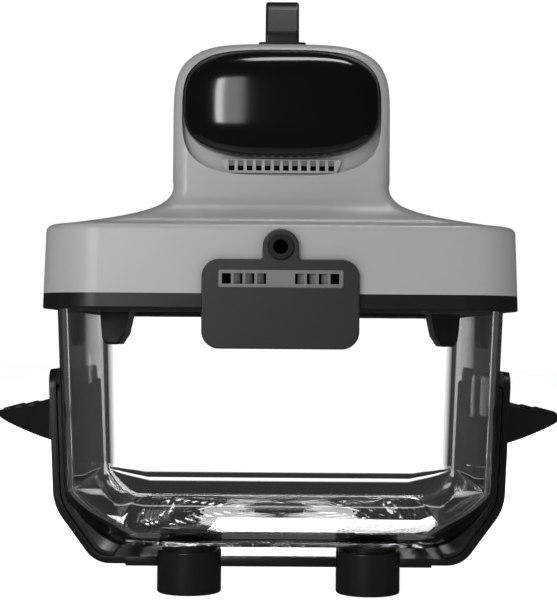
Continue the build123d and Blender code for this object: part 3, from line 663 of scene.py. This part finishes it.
finish_piece(make_cover(), "pod", "gloss_black", ["rear_cover"])


# ---------------- vents ----------------

HEAD_LOW, HEAD_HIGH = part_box("head_vent_grille")
HEAD_SLOTS = 12
HEAD_PITCH = 0.00476
HEAD_SLOT_W = 0.0031
HEAD_SLOT_LOW = HEAD_LOW.z + 0.0012
HEAD_SLOT_HIGH = HEAD_LOW.z + 0.0066
HEAD_LOUVER_LOW = 0.0027
HEAD_LOUVER_BACK = 0.0004
THIN = 0.0003

# Painted shade: a thin black slab at the back of each slot stands for the shade deep inside it. Above it,
# each slot holds a slanted grey louver.
dark, louvers = bmesh.new(), bmesh.new()
for k in range(HEAD_SLOTS):
    x = (k - (HEAD_SLOTS - 1) / 2) * HEAD_PITCH
    left, right = x - HEAD_SLOT_W / 2, x + HEAD_SLOT_W / 2
    back, front = HEAD_HIGH.y, HEAD_LOW.y
    block(dark, (left, back - THIN, HEAD_SLOT_LOW), (right, back, HEAD_SLOT_HIGH))
    louver_z = HEAD_SLOT_LOW + HEAD_LOUVER_LOW
    slab(louvers, [(left, back - THIN, louver_z), (left, back - THIN, HEAD_SLOT_HIGH),
                   (left, front + HEAD_LOUVER_BACK, HEAD_SLOT_HIGH), (left, back - 2.5 * THIN, louver_z)],
         (HEAD_SLOT_W, 0, 0))
finish_piece(bm_object("head_vent_painted_shade", dark), "pod", "painted_hole_shade")
finish_piece(bm_object("head_vent_louvers", louvers), "pod", "vent_grey")

REAR_LOW, REAR_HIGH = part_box("rear_vent_grille")
REAR_HOLE_X = (0.0096, 0.0156, 0.0216, 0.0275)
REAR_HOLE_HALF_W = 0.0023
REAR_HOLE_HALF_H = 0.0027
REAR_MID_Z = (REAR_LOW.z + REAR_HIGH.z) / 2
REAR_LOUVER_BACK = 0.001
REAR_LOUVER_REACH = 0.45

# Painted shade: a thin black slab at the back of each hole stands for the shade deep inside it; all but the
# outermost holes also hold a slanted grey louver.
dark, louvers = bmesh.new(), bmesh.new()
back, front = REAR_HIGH.y, REAR_LOW.y
low_z, high_z = REAR_MID_Z - REAR_HOLE_HALF_H, REAR_MID_Z + REAR_HOLE_HALF_H
for side in (-1, 1):
    for x in REAR_HOLE_X:
        block(dark, (side * x - REAR_HOLE_HALF_W, back - THIN, low_z),
              (side * x + REAR_HOLE_HALF_W, back, high_z))
        # the outermost holes are open
        if x == REAR_HOLE_X[-1]:
            continue
        outer = side * (x + REAR_HOLE_HALF_W)
        inner = side * (x - REAR_LOUVER_REACH * REAR_HOLE_HALF_W)
        slab(louvers, [(outer, back - THIN, low_z), (outer, front + REAR_LOUVER_BACK, low_z),
                       (inner, back - 1.5 * THIN, low_z), (inner, back - THIN, low_z)],
             (0, 0, 2 * REAR_HOLE_HALF_H))
finish_piece(bm_object("rear_vent_painted_shade", dark), "pod", "painted_hole_shade")
finish_piece(bm_object("rear_vent_louvers", louvers), "pod", "vent_grey")


# ---------------- small parts of the pod ----------------

# catch at the top of the recess, under the strap's rear end
CATCH_LOW = (-0.0081, -0.0892, 0.2846)
CATCH_HIGH = (0.0081, -0.0851, 0.2869)

catch = bmesh.new()
block(catch, CATCH_LOW, CATCH_HIGH)
finish_piece(bm_object("strap_catch", catch), "pod", "cradle_black")

# thin lip of the rim gasket, hanging just inside the glass
LIP_Z = (0.1503, 0.1519)
LIP_W = 0.0010
LIP_CLEAR = 0.0006


def hoop(name, half_w, radius, z_low, z_high, thickness):
    """Thin upright wall that runs round a rounded rectangle."""
    def ring(inset, z):
        return rounded_ring(half_w - inset, half_w - inset - SHALLOWER, radius - inset, z)

    rings = [ring(0, z_low), ring(0, z_high), ring(thickness, z_high), ring(thickness, z_low)]
    count = len(rings[0])
    faces = []
    for r in range(4):
        start, after = r * count, (r + 1) % 4 * count
        for k in range(count):
            following = (k + 1) % count
            faces.append((start + k, start + following, after + following, after + k))
    return mesh_object(name, sum(rings, []), faces, smooth=False)


lip = hoop("gasket_lip", RIM_HALF_W - WALL_T - LIP_CLEAR, CORNER_R - WALL_T, *LIP_Z, LIP_W)
finish_piece(lip, "pod", "lip_grey")


# ---------------- rubber pads of the feet ----------------

PAD_R = 0.0098
PAD_Z = (0.0014, 0.0039)
PAD_CHAMFER = 0.0005
PAD_STEPS = 48
NUB_RINGS = ((0.0084, 18), (0.0056, 12), (0.0028, 6))
NUB_R = 0.0011
NUB_TIP = 0.6
# heights of the nub's root in the pad, its shoulder and its tip
NUB_Z = (PAD_Z[0] + 0.0004, 0.0006, 0.0001)
NUB_STEPS = 10

for end in ("rear", "front"):
    for hand in ("right", "left"):
        node = f"{end}_{hand}_foot_pad"
        low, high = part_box(node)
        centre = (low + high) / 2
        pad = bmesh.new()
        lathe(pad, centre, [(0, PAD_Z[1]), (PAD_R, PAD_Z[1]), (PAD_R, PAD_Z[0] + PAD_CHAMFER),
                            (PAD_R - PAD_CHAMFER, PAD_Z[0]), (0, PAD_Z[0])], PAD_STEPS)
        for radius, count in NUB_RINGS:
            for k in range(count):
                turn = 2 * math.pi * k / count
                spot = (centre.x + radius * math.cos(turn), centre.y + radius * math.sin(turn))
                lathe(pad, spot, [(0, NUB_Z[0]), (NUB_R, NUB_Z[0]), (NUB_R, NUB_Z[1]),
                                  (NUB_R * NUB_TIP, NUB_Z[2]), (0, 0)], NUB_STEPS)
        finish_piece(bm_object(f"{end}_{hand}_nubbed_pad", pad, EDGE_ANGLE), "cradle", "rubber", [node])


# ---------------- softened cradle ----------------

PLATE_EASE = 0.0004
EASED_SIDES = (("arm", "cradle_black", 0.0006), ("arm_liner", "liner", 0.0005),
               ("base_plate", "cradle_black", PLATE_EASE))

for hand in ("right", "left"):
    for part, look, width in EASED_SIDES:
        eased_copy(f"{hand}_{part}", "cradle", look, width)
for end in ("rear", "front"):
    eased_copy(f"{end}_rail", "cradle", "cradle_black", PLATE_EASE)


# ---------------- control face ----------------

PANEL_MIDDLE = Vector((0, 0.030, 0.2505))
PANEL_RIGHT = Vector((-1, 0, 0))
PANEL_OUT = Vector((0, 0.063, 0.044)).normalized()
PANEL_UP = PANEL_OUT.cross(PANEL_RIGHT)
SEGMENTS = {"0": "abcdef", "1": "bc", "5": "acdfg", "8": "abcdefg"}
DIGIT = (0.0052, 0.0098)
STROKE = 0.0009
STROKE_GAP = 0.3
MARK_T = 0.0001
FIGURES = (("1", -0.0190), ("8", -0.0105), ("0", -0.0020), ("1", 0.0110), ("5", 0.0195))
FIGURES_UP = 0.013
GLASS_OUT = 0.0001


def on_panel(x, y, out):
    """Point on the control face: x to its right, y up it and out from it."""
    return PANEL_MIDDLE + PANEL_RIGHT * x + PANEL_UP * y + PANEL_OUT * out


def bar(bm, x, y, width, height, low, high):
    """Adds a thin block on the control face, centred at (x, y)."""
    corners = [on_panel(x + sx * width / 2, y + sy * height / 2, low)
               for sx, sy in ((-1, -1), (1, -1), (1, 1), (-1, 1))]
    slab(bm, corners, PANEL_OUT * (high - low))


def digit(bm, figure, x, y, low, high):
    """Adds one seven-segment figure."""
    wide, tall = DIGIT
    upright = tall / 2 - STROKE
    places = {"a": (0, tall / 2, wide, STROKE), "g": (0, 0, wide, STROKE), "d": (0, -tall / 2, wide, STROKE),
              "b": (wide / 2, tall / 4, STROKE, upright), "c": (wide / 2, -tall / 4, STROKE, upright),
              "f": (-wide / 2, tall / 4, STROKE, upright), "e": (-wide / 2, -tall / 4, STROKE, upright)}
    for segment in SEGMENTS[figure]:
        dx, dy, width, height = places[segment]
        bar(bm, x + dx, y + dy, width - STROKE * STROKE_GAP, height, low, high)


figures = bmesh.new()
for figure, x in FIGURES:
    digit(figures, figure, x, FIGURES_UP, GLASS_OUT, GLASS_OUT + MARK_T)
finish_piece(bm_object("display_figures", figures), "pod", "figure_glow")

BUTTON_DOWN = -0.019
BUTTON_FACE = 0.0010
BUTTONS_X = (("power_button", -0.0285), ("mode_button", -0.0095),
             ("time_down_button", 0.0095), ("time_up_button", 0.0285))
MARK_LINE = 0.0006
POWER_R = 0.0026
POWER_START = math.radians(125)
POWER_SWEEP = math.radians(290)
POWER_BAR_UP = 0.0018
POWER_BAR_H = 0.0026
MODE_LINE_W = 0.0044
MODE_PITCH = 0.0016
SIGN_LINE = 0.0007
SIGN_W = 0.0046
SIGN_ARM_UP = 0.00135
SIGN_ARM_H = 0.0019


def ring_mark(bm, x, y, radius, width, low, high, start, sweep, steps=28):
    """Adds an arc-shaped mark on the control face."""
    for k in range(steps):
        corners = []
        for turn, reach in ((k, radius), (k + 1, radius), (k + 1, radius - width), (k, radius - width)):
            angle = start + sweep * turn / steps
            corners.append(on_panel(x + reach * math.cos(angle), y + reach * math.sin(angle), low))
        slab(bm, corners, PANEL_OUT * (high - low))


for button, x in BUTTONS_X:
    mark = bmesh.new()
    low, high = BUTTON_FACE, BUTTON_FACE + MARK_T
    if button == "power_button":
        ring_mark(mark, x, BUTTON_DOWN, POWER_R, MARK_LINE, low, high, POWER_START, POWER_SWEEP)
        bar(mark, x, BUTTON_DOWN + POWER_BAR_UP, MARK_LINE, POWER_BAR_H, low, high)
    elif button == "mode_button":
        for k in (-1, 0, 1):
            bar(mark, x, BUTTON_DOWN + MODE_PITCH * k, MODE_LINE_W, MARK_LINE, low, high)
    else:
        bar(mark, x, BUTTON_DOWN, SIGN_W, SIGN_LINE, low, high)
        if button == "time_up_button":
            for side in (-1, 1):
                bar(mark, x, BUTTON_DOWN + side * SIGN_ARM_UP, SIGN_LINE, SIGN_ARM_H, low, high)
    finish_piece(bm_object(button + "_mark", mark), button, "mark_white")
